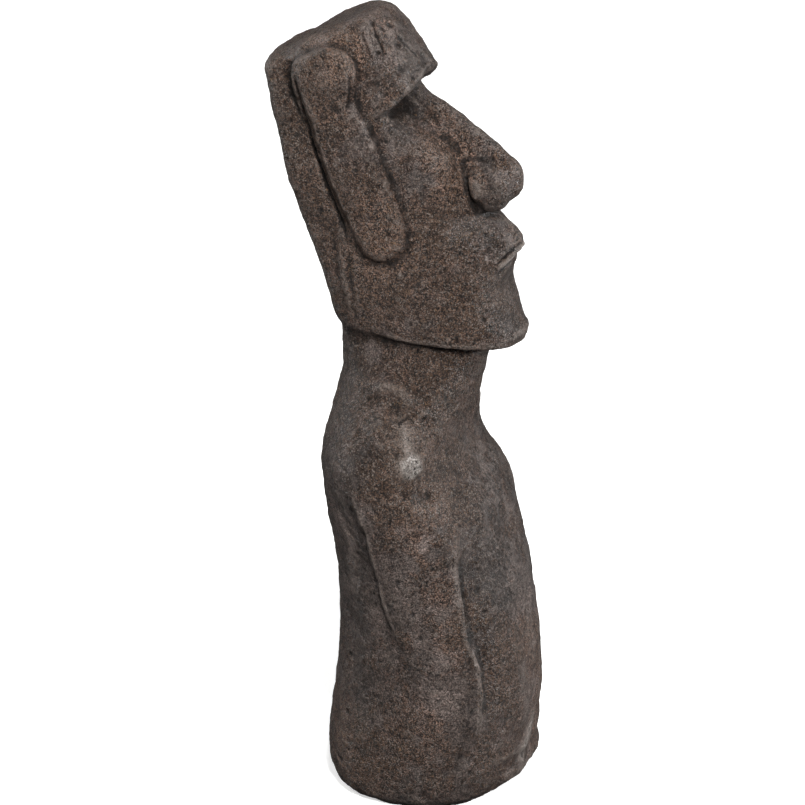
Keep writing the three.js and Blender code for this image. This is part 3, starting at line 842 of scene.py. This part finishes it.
class NodeMaker:
    def __init__(self, material):
        material.use_nodes = True
        self.tree = material.node_tree
        self.tree.nodes.clear()

    # Sets a socket to a value, or links it to another node's output.
    def feed(self, socket, value):
        if isinstance(value, bpy.types.NodeSocket):
            self.tree.links.new(value, socket)
        else:
            socket.default_value = value

    def add(self, kind, values=None, **settings):
        node = self.tree.nodes.new(kind)
        for name, value in settings.items():
            setattr(node, name, value)
        for name, value in (values or {}).items():
            self.feed(node.inputs[name], value)
        return node

    def stored(self, name):
        return self.add("ShaderNodeAttribute", attribute_name=name).outputs["Fac"]

    def noise(self, vector, scale, detail, roughness, distortion):
        node = self.add("ShaderNodeTexNoise", {
            "Vector": vector, "Scale": scale, "Detail": detail, "Roughness": roughness,
            "Distortion": distortion})
        return node.outputs["Fac"]

    def remap(self, value, fromLow, fromHigh, toLow=0.0, toHigh=1.0):
        node = self.add("ShaderNodeMapRange", {
            "Value": value, "From Min": fromLow, "From Max": fromHigh, "To Min": toLow, "To Max": toHigh})
        return node.outputs["Result"]

    def remapAs(self, value, name):
        return self.remap(value, *paintSpans[name])

    def combine(self, kind, first, second):
        return self.add("ShaderNodeMath", {0: first, 1: second}, operation=kind).outputs[0]

    def times(self, first, second):
        return self.combine("MULTIPLY", first, second)

    def addShare(self, total, value, share):
        return self.combine("ADD", total, self.times(value, share))

    # How far a noise is above its middle.
    def fromMiddle(self, noise):
        return self.combine("SUBTRACT", noise, 0.5)

    # Near 0 along the lines where a noise crosses its middle.
    def lines(self, noise):
        return self.combine("ABSOLUTE", self.fromMiddle(noise), 0.0)

    def mix(self, factor, first, second, kind="MIX"):
        node = self.add("ShaderNodeMix", data_type="RGBA", blend_type=kind)
        # the colour sockets come after those for numbers and vectors
        for index, value in ((0, factor), (6, first), (7, second)):
            self.feed(node.inputs[index], (*value, 1.0) if isinstance(value, tuple) else value)
        return node.outputs[2]

    def tint(self, colour, tone, share=1.0):
        return self.mix(share, colour, tone, "MULTIPLY")


# Everything that the paint goes by: the stored measures, noises and single grains.
def gatherFields(maker, look):
    place = maker.add("ShaderNodeTexCoord").outputs["Object"]
    fields = {name: maker.stored(name) for name in ("soil", "hollow", "paintedLightAndShade", "wearDirtAndPaintedLight", "crease")}
    brushed = maker.add("ShaderNodeMapping", {"Vector": place, "Scale": look["brushStretch"]})
    for name, settings in stoneNoises.items():
        vector = brushed.outputs["Vector"] if name == "strokes" else place
        fields[name] = maker.noise(vector, *settings)
    fields["wrinkleLine"] = maker.lines(fields["wrinkle"])
    fields["strandLine"] = maker.lines(fields["strand"])
    cells = maker.add("ShaderNodeTexVoronoi", {"Vector": place, "Scale": look["grain"]})
    cellTint = maker.add("ShaderNodeSeparateColor", {"Color": cells.outputs["Color"]})
    fields["grainDistance"] = cells.outputs["Distance"]
    fields["grain"] = cellTint.outputs["Red"]
    fields["speck"] = cellTint.outputs["Green"]
    fields["glint"] = cellTint.outputs["Blue"]
    return fields


# Brown where the soil gathers and grey where the brush went, under painted light and shade and the tone of
# the grains.
def paintGround(maker, fields, look):
    soiled = maker.addShare(fields["patches"], fields["soil"], soilMix["soil"])
    soiled = maker.addShare(soiled, maker.remapAs(fields["hollow"], "hollow"), soilMix["hollow"])
    soiled = maker.addShare(soiled, maker.fromMiddle(fields["clouds"]), soilMix["clouds"])
    brownShare = maker.remapAs(soiled, "brownShare")
    brushedOff = maker.addShare(soiled, fields["strokes"], soilMix["strokes"])
    greyShare = maker.remapAs(brushedOff, "greyShare")
    grainShare = maker.remapAs(greyShare, "grainShare")

    colour = maker.mix(greyShare, look["ground"], look["grey"])
    colour = maker.tint(colour, maker.remapAs(fields["strokes"], "strokeTone"))
    colour = maker.tint(colour, maker.remapAs(fields["mottle"], "mottleTone"))
    colour = maker.mix(maker.times(brownShare, look["earthCover"]), colour, look["earth"])
    colour = maker.tint(colour, maker.remapAs(brownShare, "brownTone"))
    # painted light and shade, broken up by the clouds
    paintedLightAndShade = maker.times(fields["paintedLightAndShade"], maker.remapAs(fields["clouds"], "paintedLightAndShadeBreak"))
    colour = maker.tint(colour, maker.combine("POWER", look["paintedLightAndShadePower"], paintedLightAndShade))
    grainTone = maker.combine("POWER", maker.remapAs(fields["grain"], "grainTone"), look["grainPower"])
    colour = maker.tint(colour, grainTone, grainShare)
    colour = maker.tint(colour, maker.remapAs(fields["coarse"], "coarseTone"))

    fibrePlaces = maker.remapAs(fields["fibreCluster"], "fibreCluster")
    fields["fibrePlaces"] = maker.times(fibrePlaces, maker.remapAs(brownShare, "fibreShare"))
    fields["brownShare"] = brownShare
    fields["grainShare"] = grainShare
    return colour


# Lays one coat after another, and keeps where each one shows for the bump.
def paintOver(maker, fields, look, colour):
    shown = {}
    for name, coat in paintCoats.items():
        showing, *showingSpan = coat["shows"]
        breaking, *breakingSpan = coat["breaks"]
        shown[name] = maker.times(
            maker.remap(fields[showing], *showingSpan), maker.remap(fields[breaking], *breakingSpan))
        colour = maker.mix(maker.times(shown[name], coat["cover"]), colour, look[coat["colour"]])
    return colour, shown


def roughen(maker, fields, shown, look):
    dome = maker.combine("SUBTRACT", 1.0, fields["grainDistance"])
    relief = maker.times(dome, stoneGrit["dome"])
    relief = maker.addShare(relief, fields["grain"], stoneGrit["grain"])
    relief = maker.times(relief, fields["grainShare"])
    relief = maker.addShare(relief, fields["coarse"], stoneGrit["coarse"])
    crumbHeight = maker.remapAs(fields["brownShare"], "crumbHeight")
    relief = maker.addShare(relief, fields["crumb"], crumbHeight)
    for name in ("pit", "wrinkle", "fibre"):
        relief = maker.addShare(relief, shown[name], stoneGrit[name])
    bump = maker.add("ShaderNodeBump", {
        "Height": relief, "Strength": look["bump"], "Distance": look["bumpDepth"] * mm})
    return bump.outputs["Normal"]


def makeStoneFinish(look):
    material = bpy.data.materials.new("painted cast stone")
    maker = NodeMaker(material)
    fields = gatherFields(maker, look)
    colour = paintGround(maker, fields, look)
    colour, shown = paintOver(maker, fields, look, colour)
    shader = maker.add("ShaderNodeBsdfPrincipled", {
        "Base Color": colour,
        "Roughness": maker.remapAs(fields["coarse"], "roughness"),
        "Normal": roughen(maker, fields, shown, look),
        "Specular IOR Level": look["specular"]})
    maker.add("ShaderNodeOutputMaterial", {"Surface": shader.outputs["BSDF"]})
    print("finish made")
    return material


statue = buildStatue()
statue.data.materials.append(makeStoneFinish(stonePaint))
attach(statue, "root")
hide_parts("statue")

# --- floor and light

studio = {
    "floor": (0.9, 0.9, 0.89),
    "floorSize": 40,          # metres
    "floorRoughness": 0.9,
    "floorGlow": 0.45,
    "world": 0.06,
    "sun": {"azimuth": -62, "elevation": 56, "strength": 2.5, "spread": 10},
    "lights": [
        # name, azimuth, elevation, distance and size in statue heights, power
        ("key light", -50, 28, 3.2, 0.40, 64),
        ("edge light", 36, 10, 3.2, 0.7, 52),
        ("side light", -132, 24, 3.2, 0.8, 20),
        ("back light", 160, 18, 3.2, 0.8, 28),
    ],
}
white = (1, 1, 1, 1)


def addFloor(setup):
    bpy.ops.mesh.primitive_plane_add(size=setup["floorSize"], location=(0, 0, statueLow.z))
    floor = bpy.context.object
    floor.name = "floor"
    material = bpy.data.materials.new("pale floor")
    maker = NodeMaker(material)
    shader = maker.add("ShaderNodeBsdfPrincipled", {
        "Base Color": (*setup["floor"], 1.0), "Roughness": setup["floorRoughness"],
        "Emission Color": white, "Emission Strength": setup["floorGlow"]})
    maker.add("ShaderNodeOutputMaterial", {"Surface": shader.outputs["BSDF"]})
    floor.data.materials.append(material)
    floor.visible_diffuse = False
    floor.visible_glossy = False
    print("floor laid")


def addLights(setup):
    world = bpy.data.worlds.new("studio")
    world.use_nodes = True
    background = world.node_tree.nodes["Background"]
    background.inputs["Color"].default_value = white
    background.inputs["Strength"].default_value = setup["world"]
    bpy.context.scene.world = world

    sun = setup["sun"]
    data = bpy.data.lights.new("overhead light", "SUN")
    data.energy = sun["strength"]
    data.angle = math.radians(sun["spread"])
    placeLooking(data, awayFrom(sun["azimuth"], sun["elevation"]))

    middle = Vector((0, 0, statueHeight / 2))
    for name, azimuth, elevation, distance, size, power in setup["lights"]:
        away = awayFrom(azimuth, elevation)
        data = bpy.data.lights.new(name, "AREA")
        data.size = size * statueHeight
        data.energy = power
        placeLooking(data, away, middle + away * distance * statueHeight)
    bpy.context.scene.view_settings.view_transform = "Standard"
    print("lights set")


addFloor(studio)
addLights(studio)
